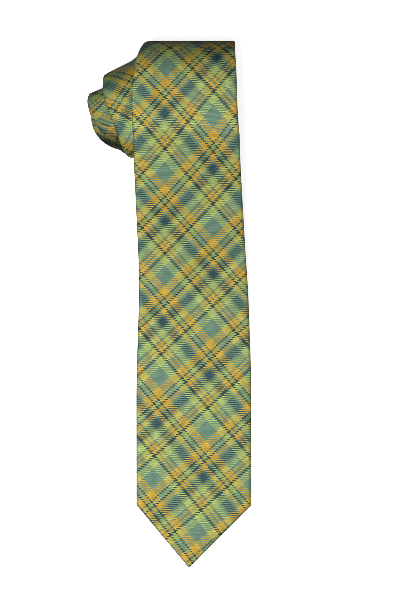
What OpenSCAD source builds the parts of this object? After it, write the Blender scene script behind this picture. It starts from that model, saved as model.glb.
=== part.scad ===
// Plaid necktie, lying blade up, its narrow end rolled up and pulled out sideways.
// Millimetres. +Y runs from the blade's point to the roll, +X across, +Z up; the table is Z = 0.

/* [Cloth] */
// Thickness of the whole folded tie, mm
tie_t = 1.7; // [1.2:0.05:3]
// Thickness of one layer of the woven shell, mm
shell_t = 0.35; // [0.2:0.05:0.6]
// Space left between two layers that lie on each other, mm
ply_gap = 0.1; // [0.05:0.05:0.2]
// Radius of the soft fold along the long edges, mm
edge_r = 0.6; // [0.3:0.05:0.8]
// Thickness of the satin lining in the blade, mm
lining_t = 0.2; // [0.1:0.05:0.4]

/* [Blade] */
// Full width of the blade at its shoulders, mm
blade_w = 80; // [60:0.5:110]
// Depth of the blade's point, mm
point_h = 43.8; // [30:0.1:60]
// How far the point sits to the left of the blade's middle, mm
point_off = 3.4; // [0:0.1:8]
// Y of the blade's point, mm
tip_y = -186.4; // [-220:0.1:-150]
// Width of the hem turned in along the point, mm
hem_w = 9; // [5:0.5:14]
// Y where the two back flaps meet, mm
meet_y = -62; // [-80:1:-40]
// Y where the blade starts to rise off the table, mm
rise_y = -75; // [-100:1:-40]

/* [Roll] */
// Y of the middle of the roll, mm
roll_y = 141; // [120:0.5:160]
// Half length of the roll's outer turn, mm
roll_a = 38.6; // [30:0.1:48]
// Half height of the roll's outer turn, mm
roll_b = 21.9; // [16:0.1:28]
// How much each turn is shorter than the last at each end, mm
pitch_a = 3.05; // [2.4:0.05:4]
// How much each turn is lower than the last, top and bottom, mm
pitch_b = 2.15; // [2:0.05:3]
// How much flatter than an oval the turns lie, top and bottom
flatten = 0.1; // [0:0.01:0.11]
// Number of turns in the roll
turns = 8.1; // [6:0.05:9]

/* [Bends] */
// Y of the bend that curls the point, mm
bend_tip_y = -91.4; // [-110:0.1:-80]
// Y of the bend that folds the blade, mm
bend_mid_y = -10; // [-30:0.1:20]
// Y of the bend that lifts the blade off the roll, mm
bend_roll_y = 104; // [90:0.1:112]
// Gap left between two stretches at a bend, mm
bend_gap = 0.4; // [0.3:0.05:0.8]

/* [Small parts] */
// Length of the keeper loop across the back, mm
keeper_l = 46; // [30:1:60]
// Width of the keeper loop, mm
keeper_w = 12; // [8:0.5:18]
// Y of the middle of the keeper loop, mm
keeper_y = -33; // [-45:0.5:-20]
// How far the middle of the keeper loop stands off the back, mm
keeper_bow = 0.7; // [0.2:0.05:1]
// Y of the bar tack on the blade's back, mm
tack_y = -58; // [-70:0.5:-50]
// Length of a bar tack across the seam, mm
tack_l = 7; // [4:0.5:12]

/* [Hidden] */

H = tie_t / 2;
shift = [21.15, 3.4, 0];             // moves the drawing so the tie's box sits over the origin
lead = -0.115;                       // turn number where the blade meets the roll
tail_a = 8.02;                       // turn number where the tail's point ends
// places along the roll, as turn numbers
n_neck = 1.78;  n_tail = 4.1;  n_lap = 1.9;  n_line = 7.66;
teal = [0.45, 0.57, 0.48];  gold = [0.82, 0.68, 0.27];  deep = [0.22, 0.35, 0.36];
satin = [0.14, 0.24, 0.25];  wool = [0.86, 0.84, 0.78];  thread = [0.30, 0.42, 0.36];

// averages a table over a short stretch, so its corners come out soft
function soft(x, tab, d) = (lookup(x - d, tab) + lookup(x - d / 2, tab) + lookup(x, tab)
                          + lookup(x + d / 2, tab) + lookup(x + d, tab)) / 5;

// --- the free blade: height, width and middle line against Y ---
function oval(f) = (cos(f) - flatten * cos(3 * f)) / (1 - flatten);
function turn_z(n) = max(roll_b - pitch_b * 0.5 - 0.9 + H + (roll_b - pitch_b * n) * oval(360 * n),
                         H + pitch_b * floor(max(n, 0)));
function turn_y(n) = (roll_a - pitch_a * n) * sin(360 * n);
lead_y = roll_y + turn_y(lead);
lead_z = turn_z(lead);
lead_m = (turn_z(lead + 0.002) - turn_z(lead - 0.002)) / (turn_y(lead + 0.002) - turn_y(lead - 0.002));
run = lead_y - rise_y;
up = lead_z - H;
function free_t(y) = min(1, max(0, (y - rise_y) / run));
function free_z(y) = let (t = free_t(y), m = lead_m * run)
    H + (3 * up - m) * t * t + (m - 2 * up) * t * t * t;
function free_m(y) = let (t = free_t(y), m = lead_m * run)
    (2 * (3 * up - m) * t + 3 * (m - 2 * up) * t * t) / run;
free_w_tab = [[-200, blade_w], [-55, blade_w], [-4, 76.5], [25, 74.6], [96, 73.8], [115, 73.6]];
free_c_tab = [[-190, -4.2], [8, -4.35], [96, -9], [115, -9.5]];
function free_w(y) = soft(y, free_w_tab, 12);
function free_l(y) = soft(y, free_c_tab, 12) - free_w(y) / 2;

// --- the roll: left edge and width against the turn number ---
left_tab = [[-0.2, -46.2], [-0.115, -46.3], [-0.06, -47.2], [0, -47.3], [0.06, -46.4], [0.107, -45.2],
    [0.152, -42.4], [0.21, -40], [0.25, -38], [0.4, -38], [0.5, -40], [0.75, -49], [0.94, -59.3],
    [1.01, -65], [1.075, -67.3], [1.16, -67.6], [1.25, -66], [1.5, -52], [1.75, -52.3], [1.8, -55.2],
    [1.85, -60.2], [1.9, -66.5], [1.96, -73.5], [2.04, -77.2], [2.12, -78.6], [2.25, -76], [2.5, -54],
    [2.65, -52], [2.75, -58.5], [2.82, -66.2], [2.88, -72], [2.95, -75], [3, -76], [3.12, -73],
    [3.25, -66], [3.5, -54], [3.75, -55], [4, -64],
    [4.25, -62], [4.5, -54], [5, -60], [5.5, -53], [6, -57], [7.7, -53], [8.02, -32], [9, -32]];
wide_tab = [[-0.2, 73.6], [-0.115, 73.6], [-0.05, 73.4], [0, 72.8], [0.06, 71.8], [0.107, 69.8],
    [0.152, 66.8], [0.21, 64.3], [0.25, 62.5], [0.4, 61.5], [1.16, 57], [1.78, 50], [2.3, 45],
    [3, 40.5], [4, 38.5], [5.5, 39], [7, 43], [7.7, 45], [8.02, 3], [9, 3]];
function roll_l(n) = soft(n, left_tab, 0.04);
function roll_w(n) = soft(n, wide_tab, 0.03);

// --- the free side of the roll sinks and tapers to the left ---
// the places across where the sinking changes; every row has a point there
knots = [-68, -46, -37];
back_tab = [[-95, -15], [-68, -15], [-46, -10.5], [-37, 0], [60, 0]];
long_tab = [[-95, 0.34], [-68, 0.63], [-46, 0.91], [-37, 1], [60, 1]];
tall_tab = [[-95, 0.50], [-68, 0.77], [-46, 0.96], [-37, 1], [60, 1]];
give_tab = [[0.1, 0], [0.3, 0.5], [0.5, 0.8], [0.8, 0.85], [1, 0.66], [1.25, 0.75], [1.75, 0.92],
    [2.25, 1], [9, 1]];
function slump(x, y, z, n) = let (g = soft(n, give_tab, 0.05))
    [x, roll_y + y * (1 - (1 - lookup(x, long_tab)) * g) + lookup(x, back_tab) * g,
     z * (1 - (1 - lookup(x, tall_tab)) * g)];

// A ring is [kind, place]; kind 0 is the free blade at a Y, kind 1 is the roll at a turn number.
function ring_w(r) = r[0] == 0 ? free_w(r[1]) : roll_w(r[1]);
// a point of a ring: u from the left edge, t from the middle of the thickness, front side positive
function at(r, u, t) = r[0] == 0 ?
    let (m = free_m(r[1]), l = sqrt(1 + m * m))
        [free_l(r[1]) + u, r[1] - t * m / l, free_z(r[1]) + t / l]
  : let (n = r[1], e = 0.004, dy = turn_y(n + e) - turn_y(n - e),
         dz0 = turn_z(n + e) - turn_z(n - e), dz = abs(dz0) < pitch_b * 0.9 ? dz0 : 0,
         l = sqrt(dy * dy + dz * dz))
        slump(roll_l(n) + u, turn_y(n) - t * dz / l, turn_z(n) + t * dy / l, n);

function rings_free(a, b, step) = let (k = ceil((b - a) / step)) [for (i = [0:k]) [0, a + (b - a) * i / k]];
function rings_roll(a, b) = concat([[1, a]],
    [for (i = [ceil(a * 20 + 0.15):floor(b * 20 - 0.15)]) [1, i / 20]], [[1, b]]);

// --- cross-sections: two matched rows of [u, t] points ---
function ring_l(r) = r[0] == 0 ? free_l(r[1]) : roll_l(r[1]);
// the knots as u, kept in order between a and b
function cols(l, a, b) = [for (i = [0:2]) min(max(knots[i] - l, a + 0.15 * (i + 1)), b - 0.15 * (3 - i))];
function row(us, t) = [for (u = us) [u, t]];
function back(us) = [for (i = [len(us) - 1:-1:0]) us[i]];
// the shell folds round both edges and its two flaps stop short of each other in the middle
// e: where the flat faces start; i: how far in the face lies; o: the corner's start
function wrap(l, w, g, e, i, o) =
    concat([[w / 2 - g, -H + i]], row(back(cols(l, e, w / 2 - g)), -H + i),
        [[e, -H + i], [i, -H + o], [i, H - o], [e, H - i]], row(cols(l, e, w - e), H - i),
        [[w - e, H - i], [w - i, H - o], [w - i, -H + o], [w - e, -H + i]],
        row(back(cols(l, w / 2 + g, w - e)), -H + i), [[w / 2 + g, -H + i]]);
// a flat layer from u0 to u1
function layer(l, u0, u1, t) = concat([[u0, t]], row(cols(l, u0, u1), t), [[u1, t]]);
function strip(u0, u1, t) = [[u0, t], [u1, t]];

// joins rings of two matched rows into one closed solid
module sweep(rs, ra, rb) {
    k = len(ra[0]);  p = 2 * k;  m = len(rs);
    pts = [for (i = [0:m - 1]) each concat(
        [for (q = ra[i]) at(rs[i], q[0], q[1])],
        [for (j = [k - 1:-1:0]) at(rs[i], rb[i][j][0], rb[i][j][1])])];
    side = [for (i = [0:m - 2]) for (j = [0:p - 1]) let (a = i * p + j, b = i * p + (j + 1) % p)
        each [[a, b + p, b], [a, a + p, b + p]]];
    cap0 = [for (j = [0:k - 2]) each [[j, j + 1, p - 1 - j], [j + 1, p - 2 - j, p - 1 - j]]];
    e = (m - 1) * p;
    cap1 = [for (j = [0:k - 2]) each
        [[e + j + 1, e + j, e + p - 1 - j], [e + p - 2 - j, e + j + 1, e + p - 1 - j]]];
    translate(shift) polyhedron(points = pts, faces = concat(side, cap0, cap1));
}
in_r = shell_t + 0.25;               // where the shell's inner face starts to turn round the edge
module shell(rs, gaps) sweep(rs,
    [for (i = [0:len(rs) - 1]) wrap(ring_l(rs[i]), ring_w(rs[i]), gaps[i], edge_r, 0, edge_r)],
    [for (i = [0:len(rs) - 1]) wrap(ring_l(rs[i]), ring_w(rs[i]), gaps[i], in_r, shell_t, in_r)]);
module ply(rs, in, t0, t1) sweep(rs,
    [for (i = [0:len(rs) - 1]) layer(ring_l(rs[i]), in, ring_w(rs[i]) - in, t1)],
    [for (i = [0:len(rs) - 1]) layer(ring_l(rs[i]), in, ring_w(rs[i]) - in, t0[i])]);
module bar(rs, c, hw, t0, t1) sweep(rs, [for (r = rs) strip(ring_w(r) * c - hw, ring_w(r) * c + hw, t1)],
                                        [for (r = rs) strip(ring_w(r) * c - hw, ring_w(r) * c + hw, t0)]);
module long_bar(rs, hw, t0, t1) sweep(rs,
    [for (r = rs) layer(ring_l(r), ring_w(r) / 2 - hw, ring_w(r) / 2 + hw, t1)],
    [for (r = rs) layer(ring_l(r), ring_w(r) / 2 - hw, ring_w(r) / 2 + hw, t0)]);

// --- where the stretches start and stop ---
hg = bend_gap / 2;
r_mid = concat(rings_free(bend_tip_y + hg, meet_y, 10), rings_free(meet_y + 4, bend_mid_y - hg, 9));
r_upper = rings_free(bend_mid_y + hg, bend_roll_y - hg, 9);
r_roll = concat(rings_free(bend_roll_y + hg, lead_y - 2, 6), rings_roll(lead, n_neck));
r_neck = rings_roll(n_neck + 0.006, n_tail);
r_tail = rings_roll(n_tail + 0.007, tail_a - 0.03);
seam_g = 0.4;
open_w = blade_w / 2 - hem_w;
function mid_gap(y) = max(seam_g, open_w * (meet_y - y) / (meet_y - (tip_y + point_h + 3)));
function gaps(rs) = [for (r = rs) seam_g];

// --- the blade's point, flat on the table: plain cut layers ---
mid_x = -4.2;
sh_y = tip_y + point_h;
cut_y = bend_tip_y - hg;
module outline2() polygon([[mid_x - blade_w / 2, sh_y], [mid_x - point_off, tip_y],
    [mid_x + blade_w / 2, sh_y], [mid_x + blade_w / 2, cut_y], [mid_x - blade_w / 2, cut_y]]);
// the same outline pulled in by d at the sides and at the point, but not at the bend
module inset2(d) intersection() {
    outline2();
    offset(delta = -d) polygon([[mid_x - blade_w / 2, sh_y], [mid_x - point_off, tip_y],
        [mid_x + blade_w / 2, sh_y], [mid_x + blade_w / 2, cut_y + 40], [mid_x - blade_w / 2, cut_y + 40]]);
}
module opening2() polygon([[mid_x - open_w, sh_y + 3], [mid_x - point_off, tip_y + hem_w * 1.45],
    [mid_x + open_w, sh_y + 3], [mid_x + mid_gap(cut_y), cut_y + 1], [mid_x - mid_gap(cut_y), cut_y + 1]]);

module blade_shell_tip() color(teal) translate(shift) {
    translate([0, 0, tie_t - shell_t]) linear_extrude(shell_t) outline2();
    linear_extrude(tie_t) difference() { outline2(); inset2(shell_t); }
    linear_extrude(shell_t) difference() { outline2(); opening2(); }
}
module interlining_tip() color(wool) translate(shift) translate([0, 0, shell_t + lining_t + 2 * ply_gap])
    linear_extrude(tie_t - 2 * shell_t - lining_t - 3 * ply_gap) inset2(shell_t + 0.3);
module tipping_tip() color(satin) translate(shift) translate([0, 0, shell_t + ply_gap])
    linear_extrude(lining_t) inset2(shell_t + 1.5);

module blade_shell_mid() color(teal) shell(r_mid, [for (r = r_mid) mid_gap(r[1])]);
// past the lining's end the interlining comes down onto the shell
inner_tab = [[-56, -H + shell_t + lining_t + 2 * ply_gap], [-48, -H + shell_t + ply_gap]];
module interlining_mid() color(wool) ply(r_mid, in_r, [for (r = r_mid) lookup(r[1], inner_tab)],
    H - shell_t - ply_gap);
r_lining = [for (r = r_mid) if (r[1] < meet_y + 5) r];
module tipping_mid() color(satin) ply(r_lining, shell_t + 1.5, [for (r = r_lining) -H + shell_t + ply_gap],
    -H + shell_t + ply_gap + lining_t);
r_seam_mid = [for (r = r_mid) if (r[1] >= meet_y) r];
module seam_thread_mid() color(thread) bar(r_seam_mid, 0.5, 0.2, -H + 0.02, -H + 0.3);

module bar_tack_blade() color(thread) translate(shift)
    for (i = [-2:2]) translate([mid_x - tack_l / 2, tack_y + i * 0.28, free_z(tack_y) - H - 0.2])
        rotate([0, 90, 0]) cylinder(r = 0.16, h = tack_l, $fn = 16);

// the keeper loop: a narrow band across the back, its middle standing a little off
r_keep = rings_free(keeper_y - keeper_w / 2, keeper_y + keeper_w / 2, 4);
function band(w, l, t, bow) = [for (i = [0:6]) let (q = i / 6)
    [w / 2 - l / 2 + l * q, -H - t - bow * sin(180 * q)]];
module keeper_loop() color(gold) sweep(r_keep,
    [for (r = r_keep) band(ring_w(r), keeper_l, 0.05, keeper_bow)],
    [for (r = r_keep) band(ring_w(r), keeper_l, 0.4, keeper_bow)]);
r_label = rings_free(keeper_y - keeper_w / 2 + 0.9, keeper_y + keeper_w / 2 - 0.9, 4);
function mid_band(w, t) = [for (i = [0:6]) let (q = 0.2 + 0.6 * i / 6)
    [w / 2 - keeper_l / 2 + keeper_l * q, -H - t - keeper_bow * sin(180 * q)]];
module keeper_label() color(deep) sweep(r_label,
    [for (r = r_label) mid_band(ring_w(r), 0.46)], [for (r = r_label) mid_band(ring_w(r), 0.62)]);
module keeper_tack(side) translate(shift) for (i = [-2:2])
    translate([mid_x + side * (keeper_l / 2 + 0.5), keeper_y + i * 2, free_z(keeper_y + i * 2) - H - 0.23])
        rotate([0, 90, 0]) translate([0, 0, -0.35]) cylinder(r = 0.15, h = 0.7, $fn = 12);
module keeper_tack_left() color(thread) keeper_tack(-1);
module keeper_tack_right() color(thread) keeper_tack(1);

module blade_shell_upper() color(teal) shell(r_upper, gaps(r_upper));
module interlining_upper() color(wool) ply(r_upper, in_r, [for (r = r_upper) -H + shell_t + ply_gap],
    H - shell_t - ply_gap);
module seam_thread_upper() color(thread) bar(r_upper, 0.5, 0.2, -H + 0.02, -H + 0.3);
r_care = rings_free(4, 32, 7);
module care_label() color([0.92, 0.92, 0.9]) sweep(r_care,
    [for (r = r_care) strip(ring_w(r) / 2 + 1, ring_w(r) / 2 + 19, -H - 0.1)],
    [for (r = r_care) strip(ring_w(r) / 2 + 1, ring_w(r) / 2 + 19, -H - 0.25)]);

// --- everything in the roll ---
module blade_shell_roll() color(teal) shell(r_roll, gaps(r_roll));
r_lin1 = concat(r_roll, rings_roll(n_neck + 0.006, n_lap));
rg = 2 * ply_gap;                    // the layers in the roll lie a little looser
module interlining_blade() color(wool) ply(r_lin1, in_r, [for (r = r_lin1) -H + shell_t + rg],
    H - shell_t - rg);
r_lin2 = rings_roll(n_lap + 0.006, n_line);
module interlining_tail() color(wool) ply(r_lin2, in_r, [for (r = r_lin2) -H + shell_t + rg],
    H - shell_t - rg);
r_thread = concat(rings_free(bend_roll_y + hg, lead_y - 2, 6), rings_roll(lead, tail_a - 0.4));
module seam_thread_roll() color(thread) bar(r_thread, 0.5, 0.2, -H - 0.16, -H - 0.01);
module neck_shell() color(gold) shell(r_neck, gaps(r_neck));
module tail_shell() color(teal) shell(r_tail, gaps(r_tail));
module join_thread(n) long_bar([[1, n + 0.0015], [1, n + 0.0045]], roll_w(n) / 2 - 1.5, H - 0.25, H - 0.05);
module join_thread_blade_neck() color(thread) join_thread(n_neck);
module join_thread_neck_tail() color(thread) join_thread(n_tail);
r_tl = rings_roll(n_line + 0.02, tail_a - 0.07);
module tail_tipping() color(satin) ply(r_tl, shell_t + 1, [for (r = r_tl) -H + shell_t + rg + 0.05],
    -H + shell_t + rg + lining_t + 0.05);
module bar_tack_tail() color(thread) bar([[1, 7.60], [1, 7.615]], 0.5, 3, -H - 0.55, -H - 0.25);

blade_shell_tip();
interlining_tip();
tipping_tip();
blade_shell_mid();
interlining_mid();
tipping_mid();
seam_thread_mid();
bar_tack_blade();
keeper_loop();
keeper_label();
keeper_tack_left();
keeper_tack_right();
blade_shell_upper();
interlining_upper();
seam_thread_upper();
care_label();
blade_shell_roll();
interlining_blade();
seam_thread_roll();
join_thread_blade_neck();
neck_shell();
join_thread_neck_tail();
tail_shell();
interlining_tail();
tail_tipping();
bar_tack_tail();
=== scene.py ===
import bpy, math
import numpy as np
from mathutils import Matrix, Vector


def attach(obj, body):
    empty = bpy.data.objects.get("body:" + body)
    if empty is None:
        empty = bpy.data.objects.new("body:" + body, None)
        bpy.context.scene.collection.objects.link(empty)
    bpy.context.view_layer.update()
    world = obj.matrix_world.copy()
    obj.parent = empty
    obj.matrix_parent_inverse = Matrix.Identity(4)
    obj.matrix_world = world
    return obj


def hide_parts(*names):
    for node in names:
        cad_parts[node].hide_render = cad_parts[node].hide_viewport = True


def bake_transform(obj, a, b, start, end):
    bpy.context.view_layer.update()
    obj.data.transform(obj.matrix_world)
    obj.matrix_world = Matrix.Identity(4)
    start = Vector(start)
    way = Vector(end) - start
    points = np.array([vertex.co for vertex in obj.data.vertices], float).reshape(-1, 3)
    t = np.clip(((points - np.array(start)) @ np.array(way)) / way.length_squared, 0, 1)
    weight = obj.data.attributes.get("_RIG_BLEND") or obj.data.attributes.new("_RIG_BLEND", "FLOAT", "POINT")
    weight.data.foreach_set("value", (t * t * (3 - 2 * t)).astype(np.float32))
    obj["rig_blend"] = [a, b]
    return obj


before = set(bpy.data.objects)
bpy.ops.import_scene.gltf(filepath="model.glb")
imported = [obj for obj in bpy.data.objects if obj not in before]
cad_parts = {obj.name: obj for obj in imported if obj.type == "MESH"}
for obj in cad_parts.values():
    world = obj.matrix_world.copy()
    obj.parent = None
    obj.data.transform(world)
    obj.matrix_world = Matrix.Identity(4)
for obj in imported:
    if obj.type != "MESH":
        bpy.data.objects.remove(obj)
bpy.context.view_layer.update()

# %% [markdown]
# # A plaid necktie, rolled at its narrow end
# The CAD model already fixes every size and every bend. This notebook dresses it: woven
# cloth folded round an interlining, a satin lining, the hand stitching on the back, and
# the light of a white table top. The first step keeps the size of the CAD model.

# %% [markdown]
# ## The line the tie follows
# A tie is one long flat strip, so its whole shape can be told by one line: flat on the
# table, up a slope, then round and round. The numbers below are the drawing's own
# parameters, in millimetres, so the cloth lies exactly where the CAD solids do. A curve
# object could carry a strip too, but the same formulas need no second drawing.

# %% Sizes of the tie and of its roll
TIE_T, CLOTH_T = 1.7, 0.35                   # the folded tie, one layer of cloth
BLADE_W, POINT_H, POINT_OFF = 80.0, 43.8, 3.4
TIP_Y, MEET_Y, RISE_Y = -186.4, -62.0, -75.0
ROLL_Y, ROLL_A, ROLL_B, STEP_A, STEP_B, FLAT = 141.0, 38.6, 21.9, 3.05, 2.15, 0.10
LEAD, TAIL_N, H = -0.115, 8.02, TIE_T / 2
SETTLE = 0.9                                 # how far the roll's middle sinks, which flattens its underside
SHIFT = np.array([21.15, 3.4, 0.0])          # the drawing's own shift onto the frame

def soft(x, tab, d):
    """Reads a table of (place, value) with its corners rounded over the distance d."""
    x = np.asarray(x, float)
    px, py = [p[0] for p in tab], [p[1] for p in tab]
    return sum(np.interp(x + k * d, px, py) for k in (-1, -0.5, 0, 0.5, 1)) / 5

def turn_z(n):
    """Height of the line after n turns; each turn rests on the ones under it."""
    oval = (np.cos(2 * np.pi * n) - FLAT * np.cos(6 * np.pi * n)) / (1 - FLAT)
    return np.maximum(ROLL_B - STEP_B / 2 - SETTLE + H + (ROLL_B - STEP_B * n) * oval,
                      H + STEP_B * np.floor(np.maximum(n, 0)))

def turn_y(n):
    """How far the line is from the roll's middle after n turns."""
    return (ROLL_A - STEP_A * n) * np.sin(2 * np.pi * n)

lead_y, lead_z = ROLL_Y + turn_y(LEAD), float(turn_z(np.array(LEAD)))
lead_m = float((turn_z(np.array(LEAD + 0.002)) - turn_z(np.array(LEAD - 0.002)))
               / (turn_y(LEAD + 0.002) - turn_y(LEAD - 0.002)))

def free_z(y):
    """Height of the free blade: flat on the table, then a smooth slope up to the roll."""
    run, up = lead_y - RISE_Y, lead_z - H
    t = np.clip((y - RISE_Y) / run, 0, 1)
    return H + (3 * up - lead_m * run) * t ** 2 + (lead_m * run - 2 * up) * t ** 3

# %% [markdown]
# The roll is pulled out sideways, so each turn starts further left than the one round it,
# and that loose end sinks and tapers. These short tables say where the left edge is at
# each turn, how wide the strip is there, and how far the loose side gives way.

# %% Width and left edge along the strip
free_w = [(-200, 80), (-55, 80), (-4, 76.5), (25, 74.6), (96, 73.8), (115, 73.6)]
free_c = [(-190, -4.2), (8, -4.35), (96, -9), (115, -9.5)]
roll_left = [(-0.2, -46.2), (-0.115, -46.3), (-0.06, -47.2), (0, -47.3), (0.06, -46.4), (0.107, -45.2),
    (0.152, -42.4), (0.21, -40), (0.25, -38), (0.4, -38), (0.5, -40), (0.75, -49), (0.94, -59.3),
    (1.01, -65), (1.075, -67.3), (1.16, -67.6), (1.25, -66), (1.5, -52), (1.75, -52.3), (1.8, -55.2),
    (1.85, -60.2), (1.9, -66.5), (1.96, -73.5), (2.04, -77.2), (2.12, -78.6), (2.25, -76), (2.5, -54),
    (2.65, -52), (2.75, -58.5), (2.82, -66.2), (2.88, -72), (2.95, -75), (3, -76), (3.12, -73),
    (3.25, -66), (3.5, -54), (3.75, -55), (4, -64), (4.25, -62), (4.5, -54), (5, -60),
    (5.5, -53), (6, -57), (7.7, -53), (8.02, -32), (9, -32)]
roll_wide = [(-0.2, 73.6), (-0.115, 73.6), (-0.05, 73.4), (0, 72.8), (0.06, 71.8), (0.107, 69.8),
    (0.152, 66.8), (0.21, 64.3), (0.25, 62.5), (0.4, 61.5), (1.16, 57), (1.78, 50), (2.3, 45),
    (3, 40.5), (4, 38.5), (5.5, 39), (7, 43), (7.7, 45), (8.02, 3), (9, 3)]
sag_back = [(-95, -15), (-68, -15), (-46, -10.5), (-37, 0), (60, 0)]
sag_long = [(-95, 0.34), (-68, 0.63), (-46, 0.91), (-37, 1), (60, 1)]
sag_tall = [(-95, 0.50), (-68, 0.77), (-46, 0.96), (-37, 1), (60, 1)]
give = [(0.1, 0), (0.3, 0.5), (0.5, 0.8), (0.8, 0.85), (1, 0.66), (1.25, 0.75), (1.75, 0.92),
        (2.25, 1), (9, 1)]

# One fine table of places along the strip: s is the distance from the blade's point.
ya = np.arange(TIP_Y, lead_y, 0.5)
na = np.linspace(LEAD, TAIL_N, 6000)
line_y = np.concatenate([ya, ROLL_Y + turn_y(na)])
line_z = np.concatenate([free_z(ya), turn_z(na)])
line_n = np.concatenate([np.full(len(ya), -1.0), na])
line_s = np.concatenate([[0], np.cumsum(np.hypot(np.diff(line_y), np.diff(line_z)))])
line_w = np.where(line_n < -0.5, soft(line_y, free_w, 12), soft(line_n, roll_wide, 0.03))
line_l = np.where(line_n < -0.5, soft(line_y, free_c, 12) - line_w / 2, soft(line_n, roll_left, 0.04))
ty, tz = np.gradient(line_y, line_s), np.gradient(line_z, line_s)
line_t = np.hypot(ty, tz)
ty, tz = ty / line_t, tz / line_t
print("length of the tie along its middle, mm:", round(float(line_s[-1])))

def at_y(y):
    """The distance s at which the free blade passes y."""
    return float(np.interp(y, line_y[:len(ya)], line_s[:len(ya)]))

def at_n(n):
    """The distance s after n turns of the roll."""
    return float(np.interp(n, na, line_s[len(ya):]))

def along(s, what):
    """Reads one of the line's tables at s."""
    return np.interp(s, line_s, what)

def place(s, u, t):
    """The point at s along the tie, u from its left edge, t from the middle of its thickness; metres."""
    s, u, t = np.broadcast_arrays(np.asarray(s, float), u, t)
    ny, nz = -along(s, tz), along(s, ty)
    n = along(s, line_n)
    x = along(s, line_l) + u
    y, z = along(s, line_y) + t * ny, along(s, line_z) + t * nz
    g = soft(n, give, 0.05)
    y = ROLL_Y + (y - ROLL_Y) * (1 - (1 - soft(x, sag_long, 2.5)) * g) + soft(x, sag_back, 2.5) * g
    z = z * (1 - (1 - soft(x, sag_tall, 2.5)) * g)
    return (np.stack([x, y, z], -1) + SHIFT) / 1000

# %% [markdown]
# ## Where the plaid lies
# Tie cloth is cut on the bias, at forty-five degrees to its threads, which is what makes a
# tie stretch and spring back. So the pattern's two thread directions run diagonally. The
# cutter was a few degrees off, and the cloth is pulled longer where it goes over the roll;
# both are put into the pattern's own map, which counts metres of cloth along each thread.

# %% The map from the strip to the cloth
REPEAT = 50.0                                # one repeat of the plaid, mm
drift = [(0, -33.1), (60, -28.6), (135, -23.6), (205, -19.4), (280, -15.7), (362, -12.2),
         (500, -8), (1500, -8)]
narrow = [(0, 1.0), (95, 0.99), (240, 0.94), (400, 0.955), (700, 1.0)]
tilt = [(0, 0.06), (240, 0.05), (300, 0.005), (325, -0.04), (360, -0.14), (400, -0.1), (1500, 0)]
half_rep = [(0, 35.5), (200, 35.8), (240, 37), (275, 39), (300, 41), (318, 39), (335, 35),
            (360, 34), (420, 36), (1500, 35.4)]
COUNT_FROM = 60.5                            # the pattern is counted from here, mm from the point
cloth_s = np.arange(-60, 1600, 1.0)
cloth_k = np.cumsum(1 / soft(cloth_s, half_rep, 10))
cloth_k -= np.interp(COUNT_FROM, cloth_s, cloth_k)

def cloth_map(s, u):
    """Metres of cloth along both thread directions, at s along the tie and u from its middle line (mm)."""
    across = (u - soft(s, drift, 20)) / (REPEAT / math.sqrt(2) * soft(s, narrow, 20))
    down = -np.interp(s + soft(s, tilt, 20) * u, cloth_s, cloth_k)
    return np.stack([(down + across) / 2, (down - across) / 2], -1) * REPEAT / 1000

# %% [markdown]
# ## Making a mesh from rows of points
# Every soft piece here is a strip with a front and a back, so one small tool builds them
# all: it takes the same number of points in every row, joins row to row, closes the rim
# and the two ends, and writes the cloth map as the mesh's UV map.

# %% A tool that joins rows into a closed sheet
def new_object(name, verts, faces, uvs=None, smooth=None, mat=None):
    me = bpy.data.meshes.new(name)
    me.from_pydata([tuple(v) for v in verts], [], [tuple(f) for f in faces])
    me.update()
    if uvs is not None:
        lay = me.uv_layers.new(name="cloth")
        idx = np.empty(len(me.loops), int)
        me.loops.foreach_get("vertex_index", idx)
        lay.data.foreach_set("uv", np.asarray(uvs, float)[idx].ravel())
    me.polygons.foreach_set("use_smooth", np.ones(len(me.polygons), bool) if smooth is None else smooth)
    ob = bpy.data.objects.new(name, me)
    bpy.context.scene.collection.objects.link(ob)
    if mat:
        me.materials.append(mat)
    return ob

def sheet_mesh(name, outer, inner, uv, mat):
    """outer, inner: (rows, points, 3) arrays of the two faces; uv: (rows, points, 2)."""
    m, k = outer.shape[:2]
    verts = np.concatenate([outer.reshape(-1, 3), inner.reshape(-1, 3)])
    uvs = np.concatenate([uv.reshape(-1, 2)] * 2)
    i, j = np.meshgrid(np.arange(m - 1), np.arange(k - 1), indexing="ij")
    a = (i * k + j).ravel()
    top = np.stack([a, a + 1, a + 1 + k, a + k], -1)
    N = m * k
    low = np.stack([a + N, a + k + N, a + 1 + k + N, a + 1 + N], -1)
    r = np.arange(m - 1) * k
    left = np.stack([r, r + k, r + k + N, r + N], -1)
    q = r + k - 1
    right = np.stack([q, q + N, q + k + N, q + k], -1)
    c = np.arange(k - 1)
    first = np.stack([c, c + N, c + 1 + N, c + 1], -1)
    e = (m - 1) * k + c
    last = np.stack([e, e + 1, e + 1 + N, e + N], -1)
    faces = np.concatenate([top, low, left, right, first, last])
    smooth = np.arange(len(faces)) < len(top) + len(low)     # the two faces of the cloth, not its rims
    ob = new_object(name, verts, faces, uvs, smooth, mat)
    if signed_volume(ob) < 0:
        ob.data.flip_normals()
    return ob

def signed_volume(ob):
    """The mesh's volume; below zero when its faces point inwards."""
    me = ob.data
    me.calc_loop_triangles()
    v = np.empty(len(me.vertices) * 3)
    me.vertices.foreach_get("co", v)
    v = v.reshape(-1, 3)
    t = np.empty(len(me.loop_triangles) * 3, int)
    me.loop_triangles.foreach_get("vertices", t)
    t = t.reshape(-1, 3)
    return float(np.einsum("ij,ij->i", v[t[:, 0]], np.cross(v[t[:, 1]], v[t[:, 2]])).sum() / 6)

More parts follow.
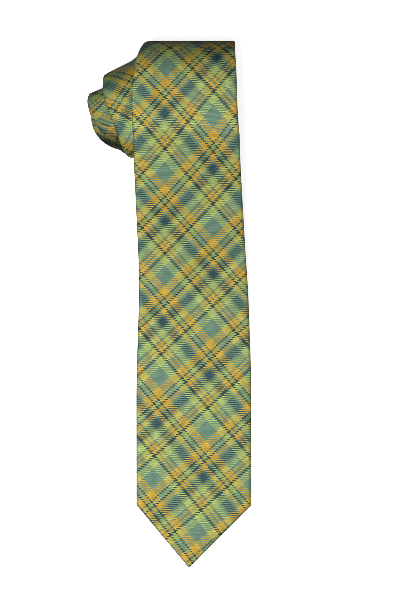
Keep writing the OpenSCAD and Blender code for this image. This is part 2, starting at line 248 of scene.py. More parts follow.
# %% [markdown]
# ## The plaid twill
# The cloth is a two-over-two twill: each thread goes over two and under two, one step
# further along in every row, so fine ribs appear. Both thread directions carry the same
# list of coloured stripes. Where two different stripes cross, the ribs show the two
# colours by turns, which gives the half-tone blocks between the solid ones. Modelled thread
# by thread the tie would have over half a million crossings, so the weave is left to the
# material.

# %% Yarn colours and the order of the stripes
def lin(h):
    """A colour written in hex, as the linear values that materials use."""
    c = [int(h[i:i + 2], 16) / 255 for i in (1, 3, 5)]
    return [v / 12.92 if v <= 0.04045 else ((v + 0.055) / 1.055) ** 2.4 for v in c]

YARN = {"teal": "#71957d", "gold": "#d6b03c", "navy": "#274846", "deep": "#305253", "fern": "#98ad69",
        "leaf": "#b2c670", "lime": "#b7cb72", "mint": "#6a8c75"}
STRIPES = [("teal", 19), ("gold", 11), ("navy", 2), ("fern", 5), ("navy", 3), ("gold", 6), ("mint", 3),
           ("deep", 9), ("mint", 2), ("fern", 2), ("leaf", 7), ("mint", 3), ("gold", 4), ("mint", 2),
           ("gold", 4), ("navy", 4), ("lime", 10)]
THREADS = sum(c for _, c in STRIPES)
print("threads in one repeat:", THREADS, "so one thread is", round(REPEAT / THREADS, 2), "mm")

# %% [markdown]
# The material is drawn with nodes that read the cloth map and one attribute of painted shade:
# a ramp of stripes for each direction, a rule that says which thread is on top, and the round
# shape of each thread for its relief and for painted shade in the gaps between threads.
# Nothing in it is a picture, so it stays sharp however close one looks.

# %% The twill material
class Nodes:
    """A short way to write a material's node tree."""
    def __init__(self, name):
        self.mat = bpy.data.materials.new(name)
        self.mat.use_nodes = True
        self.t = self.mat.node_tree
        self.t.nodes.clear()
        self.out = self.t.nodes.new("ShaderNodeOutputMaterial")
        self.bsdf = self.t.nodes.new("ShaderNodeBsdfPrincipled")
        self.t.links.new(self.bsdf.outputs[0], self.out.inputs[0])

    def put(self, sock, v):
        """Sets a socket to a value, or links it to another socket."""
        if isinstance(v, bpy.types.NodeSocket):
            self.t.links.new(v, sock)
        else:
            sock.default_value = v

    def math(self, op, a, b=None, c=None):
        n = self.t.nodes.new("ShaderNodeMath")
        n.operation = op
        for s, v in zip(n.inputs, (a, b, c)):
            if v is not None:
                self.put(s, v)
        return n.outputs[0]

    def mix(self, f, a, b, blend="MIX"):
        n = self.t.nodes.new("ShaderNodeMix")
        n.data_type = "RGBA"
        n.blend_type = blend
        self.put(n.inputs[0], f)
        for s, v in ((n.inputs[6], a), (n.inputs[7], b)):
            self.put(s, (*v, 1) if isinstance(v, (list, tuple)) and len(v) == 3 else v)
        return n.outputs[2]

    def pick(self, f, a, b):
        """The number a where f is 0, and b where it is 1."""
        n = self.t.nodes.new("ShaderNodeMix")
        n.data_type = "FLOAT"
        for s, v in zip((n.inputs[0], n.inputs[2], n.inputs[3]), (f, a, b)):
            self.put(s, v)
        return n.outputs[0]

    def chance(self, dims, *numbers):
        """A number from 0 to 1 that looks random and only depends on the numbers given."""
        n = self.t.nodes.new("ShaderNodeTexWhiteNoise")
        n.noise_dimensions = dims
        key = self.t.nodes.new("ShaderNodeCombineXYZ")
        for s, v in zip(key.inputs, numbers):
            self.put(s, v)
        self.t.links.new(key.outputs[0], n.inputs["Vector"])
        return n.outputs["Value"]

    def stripes(self, f, stops):
        """Colours that change without a blend at the places given."""
        n = self.t.nodes.new("ShaderNodeValToRGB")
        r = n.color_ramp
        r.interpolation = "CONSTANT"
        while len(r.elements) > 1:
            r.elements.remove(r.elements[-1])
        for i, (p, c) in enumerate(stops):
            e = r.elements[0] if i == 0 else r.elements.new(p)
            e.position, e.color = p, (*c, 1)
        self.put(n.inputs[0], f)
        return n.outputs[0]

WOVEN = 0.645                                # brightness of a woven yarn against its loose colour
TONE, DYE_SPREAD, GLINT_SPREAD = 0.895, 0.07, 0.16
GAP_SHADE, THREAD_TOP_LIGHT = 0.50, 0.48           # painted shade in the gaps between threads, and the painted light their round tops add
LAYER_SHADE_DEPTH = 0.88                           # how much the painted shade between the layers of the roll darkens the cloth

def cloth_material(name):
    """The plaid twill. a and b are its two thread directions, and both are treated alike."""
    m = Nodes(name)
    uv = m.t.nodes.new("ShaderNodeUVMap")
    uv.uv_map = "cloth"
    sep = m.t.nodes.new("ShaderNodeSeparateXYZ")
    m.t.links.new(uv.outputs[0], sep.inputs[0])
    first = STRIPES[0][1] / 2 / THREADS
    stops, p = [], 0
    for col, cnt in STRIPES:
        stops.append((p / THREADS, [v * WOVEN for v in lin(YARN[col])]))
        p += cnt
    thr = []
    for k in (0, 1):
        per = m.math("ADD", m.math("MULTIPLY", sep.outputs[k], 1000 / REPEAT), first)
        t = m.math("MULTIPLY", per, float(THREADS))
        fl = m.math("FLOOR", t)
        thr.append((m.math("FRACT", per), t, fl, m.math("SUBTRACT", t, fl)))
    (pa, ta, fa, ra), (pb, tb, fb, rb) = thr
    # which thread is on top: two over, two under, one step along in every row
    both = m.math("FLOORED_MODULO", m.math("ADD", fa, fb), 4.0)
    on_a = m.math("LESS_THAN", both, 1.5)
    # how far along its float the top thread is, 0 to 1
    la = m.math("MULTIPLY", m.math("FLOORED_MODULO", m.math("ADD", fa, tb), 4.0), 0.5)
    past_b = m.math("FLOORED_MODULO", m.math("ADD", ta, fb), 4.0)
    lb = m.math("MULTIPLY", m.math("SUBTRACT", past_b, 2.0), 0.5)
    def bulge(r, l):
        off = m.math("ABSOLUTE", m.math("SUBTRACT", m.math("MULTIPLY", r, 2.0), 1.0))
        side = m.math("SUBTRACT", 1.0, m.math("POWER", off, 2.5))
        part = m.math("MINIMUM", m.math("MAXIMUM", l, 0.0), 1.0)
        end = m.math("SINE", m.math("MULTIPLY", part, math.pi))
        return m.math("MULTIPLY", side, m.math("POWER", m.math("MAXIMUM", end, 0.0), 0.5))
    ha, hb = bulge(ra, la), bulge(rb, lb)
    h = m.pick(on_a, hb, ha)
    col = m.mix(on_a, m.stripes(pb, stops), m.stripes(pa, stops))
    # no two threads take the dye alike
    dye = m.pick(on_a, m.chance("2D", fb, 7.0), m.chance("2D", fa, 3.0))
    # nor do two floats of one thread catch the same light
    step = m.math("FLOOR", m.math("MULTIPLY", m.math("ADD", fa, fb), 0.25))
    glint = m.chance("3D", m.pick(on_a, fb, fa), step, on_a)
    dyed = m.math("MULTIPLY", dye, DYE_SPREAD)
    lit = m.math("MULTIPLY", glint, GLINT_SPREAD)
    tone = m.math("ADD", TONE, m.math("ADD", dyed, lit))
    # painted shade: cloth that runs under a turn of the roll is darkened in its colour, for the shade
    # between the layers
    layer_shade_node = m.t.nodes.new("ShaderNodeAttribute")
    layer_shade_node.attribute_name = "painted_layer_shade"
    layer_shade_amount = m.math("MULTIPLY", layer_shade_node.outputs["Fac"], LAYER_SHADE_DEPTH)
    tone = m.math("MULTIPLY", tone, m.math("SUBTRACT", 1.0, layer_shade_amount))
    # the random dye and glint, times painted shade that is darkest in the gaps between threads
    shade = m.math("MULTIPLY", tone, m.math("ADD", GAP_SHADE, m.math("MULTIPLY", h, THREAD_TOP_LIGHT)))
    grey = m.t.nodes.new("ShaderNodeCombineColor")
    for s in grey.inputs:
        m.put(s, shade)
    col = m.mix(1.0, col, grey.outputs[0], "MULTIPLY")
    m.put(m.bsdf.inputs["Base Color"], col)
    bump = m.t.nodes.new("ShaderNodeBump")
    bump.inputs["Strength"].default_value = 0.5
    bump.inputs["Distance"].default_value = 0.00012
    m.put(bump.inputs["Height"], h)
    m.t.links.new(bump.outputs[0], m.bsdf.inputs["Normal"])
    m.bsdf.inputs["Roughness"].default_value = 0.54
    m.bsdf.inputs["Metallic"].default_value = 0.40
    m.bsdf.inputs["Specular IOR Level"].default_value = 0.25
    m.bsdf.inputs["Sheen Weight"].default_value = 0.12
    m.bsdf.inputs["Sheen Roughness"].default_value = 0.4
    return m.mat

twill = cloth_material("plaid twill")
print("twill material:", len(twill.node_tree.nodes), "nodes")

# %% [markdown]
# ## The cloth, folded round
# The woven cloth is cut more than twice as wide as the tie, laid face down, and both sides
# are folded in over the interlining so they overlap along the middle of the back. The long
# folds are pressed only lightly, so the edges stay round. In the point, the hem turns in
# along both slanted edges and the flaps leave an opening that shows the lining. A cloth
# simulation could fold it, but wouldn't keep to the line of the CAD model, so the points of
# every row are laid one by one: left flap, fold, front, fold, right flap.

# %% One row of the folded cloth
SH_Y = TIP_Y + POINT_H
N_FRONT, N_FOLD, N_BACK = 22, 9, 12
HEM, OVER = 9.0, 3.0
HEM_ACROSS = HEM * 1.42                      # the slanted hem, measured straight across the tie
AIR = 0.05                                   # a thin gap between cloths that lie on each other
ROUND = 2.4                                  # how far in from the edge the soft fold starts to turn
POINT_END = SH_Y + 3                         # the slanted hem runs on a little past the shoulder
SEAM_RISE = 0.4                              # how fast the flaps close over each other past the opening

def line_free(s):
    """Whether s lies on the free blade, before the roll begins."""
    return along(s, line_n) < -0.5

def edges(s):
    """Left and right edge of the tie at s, as u; in the point they close to the tip."""
    w = along(s, line_w)
    d = np.where(line_free(s), np.clip((along(s, line_y) - TIP_Y) / POINT_H, 0, 1), 1.0)
    tip = w / 2 - POINT_OFF
    return tip * (1 - d), tip + (w - tip) * d

def flap_ends(s):
    """How far each back flap reaches past the middle (positive) or stops short of it (negative)."""
    y = np.where(line_free(s), along(s, line_y), 0.0)
    short = (BLADE_W / 2 - HEM) * np.clip((MEET_Y - y) / (MEET_Y - POINT_END), 0, 1)
    return np.where(y < MEET_Y, -short, np.minimum((y - MEET_Y) * SEAM_RISE, OVER))

def folded_rows(s):
    """u and t of the folded cloth at every s, with q, the distance across the cloth from its middle."""
    s = np.asarray(s, float)[:, None]
    uL, uR = edges(s)
    wide = uR - uL
    half = np.minimum(H, wide * 0.3)                     # half thickness, less at the very tip
    R = np.minimum(ROUND, wide * 0.3)
    mid = uL + wide / 2
    y = along(s, line_y)
    in_point = line_free(s) & (y < POINT_END)
    reach = flap_ends(s)
    flap = np.where(in_point, np.minimum(HEM_ACROSS, wide / 2 - 0.3), wide / 2 + reach)
    flap = np.maximum(np.minimum(flap, wide - R * 2), 0.25 * wide)
    arc = math.pi * np.sqrt((R * R + half * half) / 2)
    us, ts, qs = [], [], []
    def add(u, t, q):
        us.append(u + 0 * s)
        ts.append(t + 0 * s)
        qs.append(q + 0 * s)
    for i in range(N_BACK):                              # left flap, from its end to the fold
        d = flap + (R - flap) * i / N_BACK
        add(uL + d, -half, -(wide / 2 + arc + d - 2 * R))
    for i in range(N_FOLD):
        a = math.pi * i / N_FOLD
        add(uL + R - R * math.sin(a), -half * math.cos(a), -(wide / 2 - R + arc * (1 - i / N_FOLD)))
    for i in range(N_FRONT + 1):
        u = uL + R + (wide - 2 * R) * i / N_FRONT
        add(u, half, u - mid)
    for i in range(1, N_FOLD + 1):
        a = math.pi * i / N_FOLD
        add(uR - R + R * math.sin(a), half * math.cos(a), wide / 2 - R + arc * i / N_FOLD)
    for i in range(1, N_BACK + 1):                       # right flap, from the fold to its end
        d = R + (flap - R) * i / N_BACK
        add(uR - d, -half, wide / 2 + arc + d - 2 * R)
    u, t, q = (np.concatenate(r, 1) for r in (us, ts, qs))
    # the left flap lies under the right one where they overlap
    under = (np.arange(u.shape[1])[None, :] < N_BACK) * np.clip((u - (mid - 7)) / 5, 0, 1)
    t = t + under * under * (3 - 2 * under) * np.clip((reach + 1) / 2, 0, 1) * (CLOTH_T + AIR)
    return u, t, q, s, half

WAVE_H = 0.22                                # height of the waves, mm

def ease(s, u):
    """Tiny waves of a cloth that was never pressed hard; nothing at all where layers are wound tight."""
    w = along(s, line_w)
    e = (0.5 + 0.5 * np.sin(s / 23.0 + 0.6 * np.sin(u / 17.0))) * np.sin(u / w * np.pi) * WAVE_H
    return e * np.clip((s - 60) / 60, 0, 1) * np.clip((at_n(0.02) - s) / 40, 0, 1)

SH_S = at_y(SH_Y)
END_ROW = 0.12                               # distance of a second row from each end of a piece, mm

def stations(s0, s1, step):
    """Places along a piece. A second row close to each end keeps the shading straight over a cut."""
    s = np.linspace(s0, s1, max(2, int(math.ceil((s1 - s0) / step))) + 1)
    shoulder = [SH_S] if s0 < SH_S < s1 else []
    return np.unique(np.concatenate([s, [s0 + END_ROW, s1 - END_ROW], shoulder]))

LAYER_SHADE_FROM, LOOSE_X = 1.3, -30                # painted shade from this turn on, and left of this place

def painted_layer_shade(n, x):
    """Painted shade between layers: 1 where the loose end of a turn runs underneath, easing to 0 as it comes
    up into the light.
    """
    f = n % 1.0
    under = np.minimum(np.clip((f - 0.2) / 0.2, 0, 1), np.clip((0.955 - f) / 0.1, 0, 1))
    return np.where(n < LAYER_SHADE_FROM, 0.0, under * np.clip((LOOSE_X - x) / 15, 0, 1))

CUT_SIZE = {}                                # width and length in metres, area in square metres

def cloth_piece(name, s0, s1, mat, step=2.5):
    """One length of the folded cloth, with its cloth map and its attribute of painted shade between the
    layers of the roll.
    """
    u, t, q, ss, half = folded_rows(stations(s0, s1, step))
    du, dt = np.gradient(u, axis=1), np.gradient(t, axis=1)
    l = np.maximum(np.hypot(du, dt), 1e-9)
    thick = np.minimum(CLOTH_T, half * 0.45)             # the inner face is pulled in by one cloth thickness
    wave = ease(ss, u)
    outer = place(ss, u, t + wave)
    inner = place(ss, u + dt / l * thick, t - du / l * thick + wave)
    wide = q.max(1) - q.min(1)
    CUT_SIZE[name] = (wide.max() / 1000, (s1 - s0) / 1000, float(np.trapz(wide, ss[:, 0])) / 1e6)
    ob = sheet_mesh(name, outer, inner, cloth_map(ss, q), mat)
    # painted shade: the cloth of the inner turns is darkened where it runs under the turn above
    dark = painted_layer_shade(along(ss, line_n), along(ss, line_l) + u).ravel()
    written = ob.data.attributes.new("painted_layer_shade", "FLOAT", "POINT")
    written.data.foreach_set("value", np.concatenate([dark, dark]))
    return ob

# %% [markdown]
# The tie bends at three places: where it leaves the roll, in the middle of the blade and
# near the point. Each length of cloth below crosses one of them at most, and the lengths of
# the blade meet half way between two bends, where the plaid runs straight on.

# %% The woven cloth in six lengths
CUT1, CUT2, CUT3 = at_y(-50.7), at_y(47.0), at_n(0.02)
NECK, TAILP = at_n(1.78), at_n(4.1)
JOIN_GAP = 0.6                               # the width of a joining seam, mm
shell = [cloth_piece("cloth_at_the_point", 0.25, CUT1, twill, 1.6),
         cloth_piece("cloth_in_the_middle", CUT1, CUT2, twill, 2.0),
         cloth_piece("cloth_over_the_roll", CUT2, CUT3, twill, 2.0),
         cloth_piece("cloth_in_the_roll", CUT3, NECK, twill, 2.2),
         cloth_piece("neck_cloth", NECK + JOIN_GAP, TAILP, twill),
         cloth_piece("tail_cloth", TAILP + JOIN_GAP, at_n(TAIL_N) - 3, twill)]
for o in shell:
    print(o.name, len(o.data.polygons), "faces, cut", [round(v * 1000) for v in CUT_SIZE[o.name][:2]], "mm")

# %% [markdown]
# ## The hidden layers
# A strip of brushed wool, the interlining, runs inside the whole tie and gives it body. A
# thin satin lining closes the opening behind the point, and a small one the tail. All of
# them are flat layers on the same line, a little narrower than the tie, so they are made
# by one function that only needs how far in they stop and how deep they lie.

# %% Wool, satin, thread and label finishes
def plain(name, colour, rough, grain, depth, spec=0.2, sheen=0.0, streak=(1, 1, 1)):
    """A dyed fibre finish: one colour, clouded a little, with a fine grain in its relief."""
    m = Nodes(name)
    co = m.t.nodes.new("ShaderNodeTexCoord")
    mp = m.t.nodes.new("ShaderNodeMapping")
    m.t.links.new(co.outputs["Object"], mp.inputs[0])
    mp.inputs["Scale"].default_value = streak
    n = m.t.nodes.new("ShaderNodeTexNoise")
    m.t.links.new(mp.outputs[0], n.inputs["Vector"])
    n.inputs["Scale"].default_value = grain
    n.inputs["Detail"].default_value = 5.0
    c = lin(colour)
    dark, pale = [v * 0.72 for v in c], [min(1, v * 1.22) for v in c]
    m.put(m.bsdf.inputs["Base Color"], m.mix(n.outputs[0], dark, pale))
    b = m.t.nodes.new("ShaderNodeBump")
    b.inputs["Strength"].default_value = 0.6
    b.inputs["Distance"].default_value = depth
    m.put(b.inputs["Height"], n.outputs[0])
    m.t.links.new(b.outputs[0], m.bsdf.inputs["Normal"])
    m.bsdf.inputs["Roughness"].default_value = rough
    m.bsdf.inputs["Specular IOR Level"].default_value = spec
    m.bsdf.inputs["Sheen Weight"].default_value = sheen
    return m.mat

wool = plain("brushed wool", "#d9d2c1", rough=0.95, grain=1400, depth=0.00025, spec=0.1, sheen=0.3)
satin = plain("lining satin", "#2e4f4b", rough=0.34, grain=2600, depth=0.00003, spec=0.5, sheen=0.1,
              streak=(1, 0.12, 1))
thread = plain("sewing thread", "#7f9a6c", rough=0.6, grain=5200, depth=0.00006, spec=0.3, sheen=0.1)
label_dark = plain("dark label", "#22313a", rough=0.42, grain=3800, depth=0.00004, spec=0.4, sheen=0.1,
                   streak=(0.15, 1, 1))
label_light = plain("light label", "#e6e2d6", rough=0.5, grain=3800, depth=0.00004, spec=0.3, sheen=0.1,
                    streak=(0.15, 1, 1))

# %% [markdown]
# A layer is the simplest kind of strip: straight rows from edge to edge, at one depth on
# each face. It takes the same little waves as the cloth round it, so the two never meet.

# %% A flat layer inside the tie
WOOL_INSET, WOOL_LOW, WOOL_HIGH = 2.3, -0.05, 0.42       # from the tie's edge, and its two faces

def layer(name, s0, s1, inset, t0, t1, mat, step=3.0, cols=16):
    """A flat strip from s0 to s1, set in from both edges, between the depths t0 and t1."""
    ss = stations(s0, s1, step)[:, None]
    uL, uR = edges(ss)
    f = np.linspace(0, 1, cols + 1)[None, :]
    u = uL + inset + (uR - uL - 2 * inset) * f
    wave = ease(ss, u)
    wide = (uR - uL)[:, 0] - 2 * inset
    CUT_SIZE[name] = (wide.max() / 1000, (s1 - s0) / 1000, float(np.trapz(wide, ss[:, 0])) / 1e6)
    uv = np.stack([ss + 0 * u, u + 0 * ss], -1) / 1000
    return sheet_mesh(name, place(ss, u, t1 + wave), place(ss, u, t0 + wave), uv, mat)

def wool_layer(name, s0, s1):
    return layer(name, s0, s1, WOOL_INSET, WOOL_LOW, WOOL_HIGH, wool)

LAP, LINE = at_n(1.9), at_n(7.66)
inner = [wool_layer("interlining_at_the_point", 5.0, CUT1),
         wool_layer("interlining_in_the_middle", CUT1, CUT2),
         wool_layer("interlining_over_the_roll", CUT2, CUT3),
         wool_layer("interlining_in_the_roll", CUT3, LAP),
         wool_layer("interlining_of_the_tail", LAP + 0.5, LINE)]
LINING_END = at_y(-57.0)
lining = layer("lining_in_the_point", 6.5, LINING_END, 2.6, -0.42, -0.26, satin, 2.0, 24)
tail_lining = layer("lining_in_the_tail", at_n(7.69), at_n(7.94), 2.2, -0.40, -0.24, satin, 1.5)
lining_mm = [round(v * 1000) for v in CUT_SIZE[lining.name][:2]]
print("wool layers:", len(inner), "; the lining is", lining_mm, "mm")

# %% [markdown]
# ## The stitches
# The back is closed by hand with one long thread that shows as a row of small slip
# stitches beside the flap's edge. A bar tack, several stitches side by side, locks the
# seam at each end. Rows like these are what Geometry Nodes is for: the tree walks along a
# path, sets a stitch every few millimetres, and turns each one the way the path says.

# %% The node tree that sews a row of stitches
def stitch_tree():
    t = bpy.data.node_groups.new("row of stitches", "GeometryNodeTree")
    def sock(name, kind, way="INPUT"):
        return t.interface.new_socket(name, in_out=way, socket_type="NodeSocket" + kind)
    sock("Path", "Geometry")
    for name in ("Spacing", "Length", "Thickness", "Looseness"):
        sock(name, "Float")
    sock("Seed", "Int")
    sock("Thread", "Material")
    sock("Stitches", "Geometry", "OUTPUT")
    N = t.nodes.new
    L = t.links.new
    gi, go = N("NodeGroupInput"), N("NodeGroupOutput")
    curve = N("GeometryNodeMeshToCurve")
    L(gi.outputs["Path"], curve.inputs["Mesh"])
    walk = N("GeometryNodeResampleCurve")
    walk.mode = "LENGTH"
    L(curve.outputs[0], walk.inputs["Curve"])
    L(gi.outputs["Spacing"], walk.inputs["Length"])
    ball = N("GeometryNodeMeshUVSphere")
    ball.inputs["Segments"].default_value = 8
    ball.inputs["Rings"].default_value = 7
    ball.inputs["Radius"].default_value = 0.5
    size3 = N("ShaderNodeCombineXYZ")
    L(gi.outputs["Thickness"], size3.inputs[0])
    L(gi.outputs["Thickness"], size3.inputs[1])
    L(gi.outputs["Length"], size3.inputs[2])
    shape = N("GeometryNodeTransform")
    L(ball.outputs[0], shape.inputs["Geometry"])
    L(size3.outputs[0], shape.inputs["Scale"])
    way = N("GeometryNodeInputNamedAttribute")
    way.data_type = "FLOAT_VECTOR"
    way.inputs["Name"].default_value = "way"
    rnd = N("FunctionNodeRandomValue")
    rnd.data_type = "FLOAT_VECTOR"
    rnd.inputs[0].default_value = (-1, -1, -1)
    rnd.inputs[1].default_value = (1, 1, 1)
    L(gi.outputs["Seed"], rnd.inputs["Seed"])
    loose = N("ShaderNodeVectorMath")
    loose.operation = "SCALE"
    L(rnd.outputs[0], loose.inputs[0])
    L(gi.outputs["Looseness"], loose.inputs["Scale"])
    both = N("ShaderNodeVectorMath")
    both.operation = "ADD"
    L(way.outputs[0], both.inputs[0])
    L(loose.outputs[0], both.inputs[1])
    turn = N("FunctionNodeAlignRotationToVector")
    turn.axis = "Z"
    L(both.outputs[0], turn.inputs["Vector"])
    setp = N("GeometryNodeInstanceOnPoints")
    L(walk.outputs[0], setp.inputs["Points"])
    L(shape.outputs[0], setp.inputs["Instance"])
    L(turn.outputs[0], setp.inputs["Rotation"])
    real = N("GeometryNodeRealizeInstances")
    L(setp.outputs[0], real.inputs[0])
    mat = N("GeometryNodeSetMaterial")
    L(real.outputs[0], mat.inputs["Geometry"])
    L(gi.outputs["Thread"], mat.inputs["Material"])
    L(mat.outputs[0], go.inputs[0])
    return t

row_of_stitches = stitch_tree()
print("stitch tree:", len(row_of_stitches.nodes), "nodes")

# %% [markdown]
# To sew, a path of points is given to the tree together with the way each stitch should
# lie. The result is turned into a plain mesh, and the modifier is taken off again.

# %% Sewing along a path
def sew(name, points, ways, spacing, length, thick, loose=0.0, seed=1):
    """Stitches of one length every spacing mm along the points, each lying along its way."""
    me = bpy.data.meshes.new(name)
    me.from_pydata([tuple(p) for p in points], [(i, i + 1) for i in range(len(points) - 1)], [])
    a = me.attributes.new("way", "FLOAT_VECTOR", "POINT")
    a.data.foreach_set("vector", np.asarray(ways, float).ravel())
    ob = bpy.data.objects.new(name, me)
    bpy.context.scene.collection.objects.link(ob)
    mod = ob.modifiers.new("sewing", "NODES")
    mod.node_group = row_of_stitches
    ids = {i.name: i.identifier for i in row_of_stitches.interface.items_tree if i.in_out == "INPUT"}
    for k, v in (("Spacing", spacing / 1000), ("Length", length / 1000), ("Thickness", thick / 1000),
                 ("Looseness", loose), ("Seed", seed), ("Thread", thread)):
        mod[ids[k]] = v
    done = bpy.data.meshes.new_from_object(ob.evaluated_get(bpy.context.evaluated_depsgraph_get()))
    ob.modifiers.remove(mod)
    ob.data = done
    done.name = name
    for at in [x for x in done.attributes if x.name == "way"]:
        done.attributes.remove(at)
    done.polygons.foreach_set("use_smooth", np.ones(len(done.polygons), bool))
    if not done.materials:
        done.materials.append(thread)
    print(name, len(done.polygons), "faces")
    return ob

def unit(v):
    """The same directions, each one unit long."""
    return v / np.maximum(np.linalg.norm(v, axis=1, keepdims=True), 1e-12)

SLIP = dict(spacing=9.0, length=4.6, thick=0.3, loose=0.07)

def seam(name, s0, s1, seed):
    """Slip stitches along the free edge of the upper flap."""
    s = np.linspace(s0, s1, max(8, int((s1 - s0) / 2)))
    u = along(s, line_w) / 2 - OVER - 0.2
    p = place(s, u, -H - 0.10 + ease(s, u))
    return sew(name, p, unit(np.gradient(p, axis=0)), seed=seed, **SLIP)

stitches = [seam("slip_stitches_in_the_middle", at_y(-55), CUT2 - 5, 3),
            seam("slip_stitches_over_the_roll", CUT2 + 4, CUT3, 4),
            seam("slip_stitches_in_the_roll", CUT3 + 5, at_n(7.6), 5)]

def cross_row(name, s0, s1, u, t, length, spacing, thick, seed):
    """Stitches lying across the tie at u, set side by side from s0 to s1."""
    s = np.linspace(s0, s1, 12)
    p = place(s, u, t)
    way = unit(place(s, u + 0.5, t) - place(s, u - 0.5, t))
    return sew(name, p, way, spacing, length, thick, 0.03, seed)

tack_s, tail_s = at_y(-58.0), at_n(7.607)
w_tack, w_tail = along(tack_s, line_w), along(tail_s, line_w)
tack = cross_row("bar_tack_on_the_blade", tack_s - 0.9, tack_s + 0.9, w_tack / 2, -H - 0.1,
                 length=7.0, spacing=0.3, thick=0.32, seed=6)
tail_tack = cross_row("bar_tack_on_the_tail", tail_s - 0.6, tail_s + 0.6, w_tail / 2, -H - 0.1,
                      length=6.0, spacing=0.3, thick=0.3, seed=7)

def join_row(name, s):
    """The seam that joins two lengths of cloth: short stitches along the strip, in a row across it."""
    w = float(along(s, line_w))
    u = np.linspace(3, w - 3, 30)
    p = place(s, u, H - 0.2)
    way = unit(place(s + 0.5, u, H - 0.2) - place(s - 0.5, u, H - 0.2))
    return sew(name, p, way, spacing=1.6, length=1.5, thick=0.22, loose=0.05, seed=8)

joins = [join_row("join_of_blade_and_neck", NECK + JOIN_GAP / 2),
         join_row("join_of_neck_and_tail", TAILP + JOIN_GAP / 2)]

# %% [markdown]
# ## The keeper loop and the labels
# A narrow band of the same plaid is sewn across the back; the tail is pushed through it when
# the tie is worn. It is a tube of cloth pressed flat, held only at its two ends, so it stands
# a little off the back. The label on it and the care label on the cloth are left blank. A
# thickened plane could do for all three, but rows on the tie's own line keep to its back.

# %% A small patch on the back
def patch(name, y0, y1, u0, u1, deep, thick, bow, mat, uv_of, rounded=0.0, rows=14, cols=36):
    """A band from u0 to u1 and y0 to y1, deep off the back, with its middle standing out by bow."""
    s = np.linspace(at_y(y0), at_y(y1), rows + 1)[:, None]
    f = np.linspace(0, 1, cols + 1)[None, :]
    c = along(s, line_w) / 2
    u = c + u0 + (u1 - u0) * f
    v = np.linspace(-1, 1, rows + 1)[:, None]
    out = bow(f)
    body = thick / 2 * (1 - rounded * v ** 8)
    mid = -H - deep - thick / 2 - out
    uv = uv_of(s + 0 * f, u - c)
    CUT_SIZE[name] = ((u1 - u0) / 1000, (y1 - y0) / 1000, None)
    wave = ease(s, u)
    return sheet_mesh(name, place(s, u, mid + body + wave), place(s, u, mid - body + wave), uv, mat)

def flat_uv(s, u):
    """The plain map of a label: metres along and across the tie."""
    return np.stack([s, u], -1) / 1000

def loop_bow(f):
    """How far the loop stands out: nothing at its sewn ends, most in the middle."""
    return 0.7 * np.sin(np.pi * f) ** 0.8

def label_bow(f):
    """The label lies on the loop's middle, so it bows with that part of it."""
    return loop_bow(0.2 + 0.6 * f)

LOOP_Y, LABEL_Y, CARE_Y = (-39, -27), (-38.1, -27.9), (4, 32)    # from and to along the blade
loop = patch("keeper_band", *LOOP_Y, -23, 23, 0.06, 0.34, loop_bow, twill,
             lambda s, u: np.stack([s * 0.9 + 6, u * 0.9 + 19], -1) / 1000, 0.7)
label = patch("keeper_label_blank", *LABEL_Y, -13.8, 13.8, 0.42, 0.14, label_bow, label_dark, flat_uv)
care = patch("care_label_blank", *CARE_Y, 1, 19, 0.26, 0.12, lambda f: 0.12 * f, label_light, flat_uv)
for o in (loop, label, care):
    print(o.name, [round(v * 1000) for v in CUT_SIZE[o.name][:2]], "mm")

def loop_tack(name, side, seed):
    """The stitches that hold the loop at one end; side is -1 for the left and 1 for the right."""
    u = float(along(at_y(sum(LOOP_Y) / 2), line_w)) / 2 + side * 22.6
    return cross_row(name, at_y(-38.2), at_y(-27.8), u, -H - 0.42,
                     length=2.2, spacing=1.3, thick=0.28, seed=seed)

loop_tacks = [loop_tack("keeper_tack_on_the_left", -1, 9), loop_tack("keeper_tack_on_the_right", 1, 10)]

# %% [markdown]
# ## What each piece rides on
# The frame has four bodies and three bends. A piece that crosses a bend is blended over a
# few centimetres of cloth, as a real tie bends, and all layers at one place use the same
# stretch, so they stay together. Everything in the roll simply goes with the roll.

# %% Riding and replacing
def zone(y, d):
    """A bend from d before y to d after it, along the middle of the blade."""
    a, b = place(at_y(y - d), BLADE_W / 2, 0), place(at_y(y + d), BLADE_W / 2, 0)
    return dict(start=tuple(map(float, a)), end=tuple(map(float, b)))

AT_POINT = ("blade_point", "blade_mid", zone(-91.4, 17))
AT_MIDDLE = ("blade_mid", "blade_upper", zone(-10, 14))
AT_ROLL = ("blade_upper", "roll", zone(102, 15))
for obj, (a, b, z) in ((shell[0], AT_POINT), (inner[0], AT_POINT), (lining, AT_POINT),
                       (shell[1], AT_MIDDLE), (inner[1], AT_MIDDLE), (stitches[0], AT_MIDDLE),
                       (shell[2], AT_ROLL), (inner[2], AT_ROLL), (stitches[1], AT_ROLL)):
    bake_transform(obj, a, b, **z)
for obj in shell[3:] + inner[3:] + joins + [stitches[2], tail_lining, tail_tack]:
    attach(obj, "roll")
for obj in [tack, loop, label] + loop_tacks:
    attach(obj, "blade_mid")
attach(care, "blade_upper")

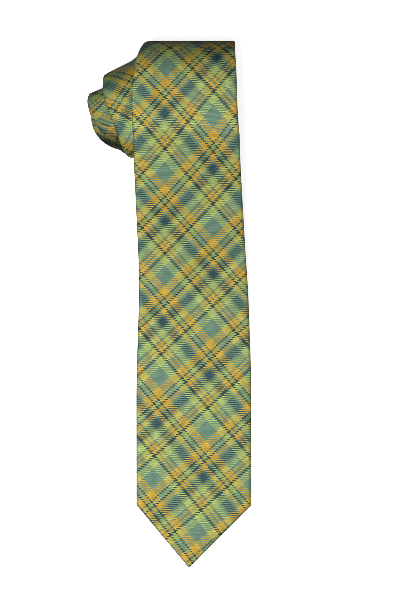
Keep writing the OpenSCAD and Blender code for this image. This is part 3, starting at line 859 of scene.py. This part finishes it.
PARTS = [("cloth", shell[0], "blade_shell_tip"), ("cloth", shell[1], "blade_shell_mid"),
         ("cloth", shell[2], "blade_shell_upper"), ("cloth", shell[3], "blade_shell_roll"),
         ("cloth", shell[4], "neck_shell"), ("cloth", shell[5], "tail_shell"),
         ("interlining", inner[0], "interlining_tip"), ("interlining", inner[1], "interlining_mid"),
         ("interlining", inner[2], "interlining_upper"), ("interlining", inner[3], "interlining_blade"),
         ("interlining", inner[4], "interlining_tail"),
         ("satin_lining", lining, "tipping_tip", "tipping_mid"),
         ("satin_lining", tail_lining, "tail_tipping"),
         ("thread", stitches[0], "seam_thread_mid"), ("thread", stitches[1], "seam_thread_upper"),
         ("thread", stitches[2], "seam_thread_roll"), ("thread", tack, "bar_tack_blade"),
         ("thread", tail_tack, "bar_tack_tail"), ("thread", joins[0], "join_thread_blade_neck"),
         ("thread", joins[1], "join_thread_neck_tail"), ("thread", loop_tacks[0], "keeper_tack_left"),
         ("thread", loop_tacks[1], "keeper_tack_right"), ("cloth", loop, "keeper_loop"),
         ("label_dark", label, "keeper_label"), ("label_light", care, "care_label")]
for slot, obj, *nodes in PARTS:
    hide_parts(*nodes)
print("pieces that take over a CAD node:", len(PARTS))

# %% [markdown]
# The size each layer of cloth was cut to is kept with its area in CUT_SIZE; folding must
# not stretch it. The shell is cut more than twice as wide as the tie, because it goes round
# the front and comes together on the back.

# %% [markdown]
# ## The white table
# The table is plain matt white and only there to catch the soft shadow beside the roll. It
# glows a little so it stays white, and the tie is set to take none of that light. It isn't
# part of the tie.

# %% The table
m = Nodes("white table")
m.bsdf.inputs["Base Color"].default_value = (0.9, 0.9, 0.9, 1)
m.bsdf.inputs["Roughness"].default_value = 0.9
m.bsdf.inputs["Specular IOR Level"].default_value = 0.0
m.bsdf.inputs["Emission Color"].default_value = (1, 1, 1, 1)
m.bsdf.inputs["Emission Strength"].default_value = 0.8
FAR = 3                                      # the table reaches three metres each way
corners = [(-FAR, -FAR, 0), (FAR, -FAR, 0), (FAR, FAR, 0), (-FAR, FAR, 0)]
floor = new_object("table", corners, [(0, 1, 2, 3)], mat=m.mat)
floor.visible_diffuse = False
floor.visible_glossy = False

# %% [markdown]
# ## Light and camera
# One soft lamp stands above the blade, a little to the left, so the far side of the roll
# and the hollows between its turns fall into shade while the ribs of the twill still
# show; the hollows also carry painted shade in the cloth's colour. A wide, faint light
# above it keeps the shade from going black.

# %% Lamps
sc = bpy.context.scene
sc.view_settings.view_transform = "Standard"
sc.cycles.filter_width = 0.7
world = bpy.data.worlds.new("room")
sc.world = world
world.use_nodes = True
bg = world.node_tree.nodes["Background"]
bg.inputs[0].default_value = (1, 1, 1, 1)
bg.inputs[1].default_value = 0.08

def area(name, where, aim, size_m, watts):
    """A square lamp at one place, turned to face another."""
    d = bpy.data.lights.new(name, "AREA")
    d.shape = "SQUARE"
    d.size = size_m
    d.energy = watts
    o = bpy.data.objects.new(name, d)
    o.location = where
    o.rotation_euler = (Vector(aim) - Vector(where)).to_track_quat("-Z", "Y").to_euler()
    sc.collection.objects.link(o)

area("lamp", where=(-0.22, -0.17, 1.1), aim=(0, 0, 0), size_m=0.3, watts=15.3)
area("ceiling", where=(0.0, 0.0, 2.2), aim=(0, 0, 0), size_m=1.2, watts=8.2)

# %% [markdown]
# The camera looks straight down from far away, so nothing is seen in perspective.

# %% Camera
cam = bpy.data.cameras.new("camera")
co = bpy.data.objects.new("camera", cam)
sc.collection.objects.link(co)
DIST = 6.0
FIELD_H = 0.4174                             # metres of table that fill the height of the frame
co.location = (0.02115, 0.0034, DIST)
co.rotation_euler = (0, 0, 0)
cam.sensor_fit = "VERTICAL"
cam.sensor_height = 24
cam.lens = cam.sensor_height * DIST / FIELD_H
sc.camera = co
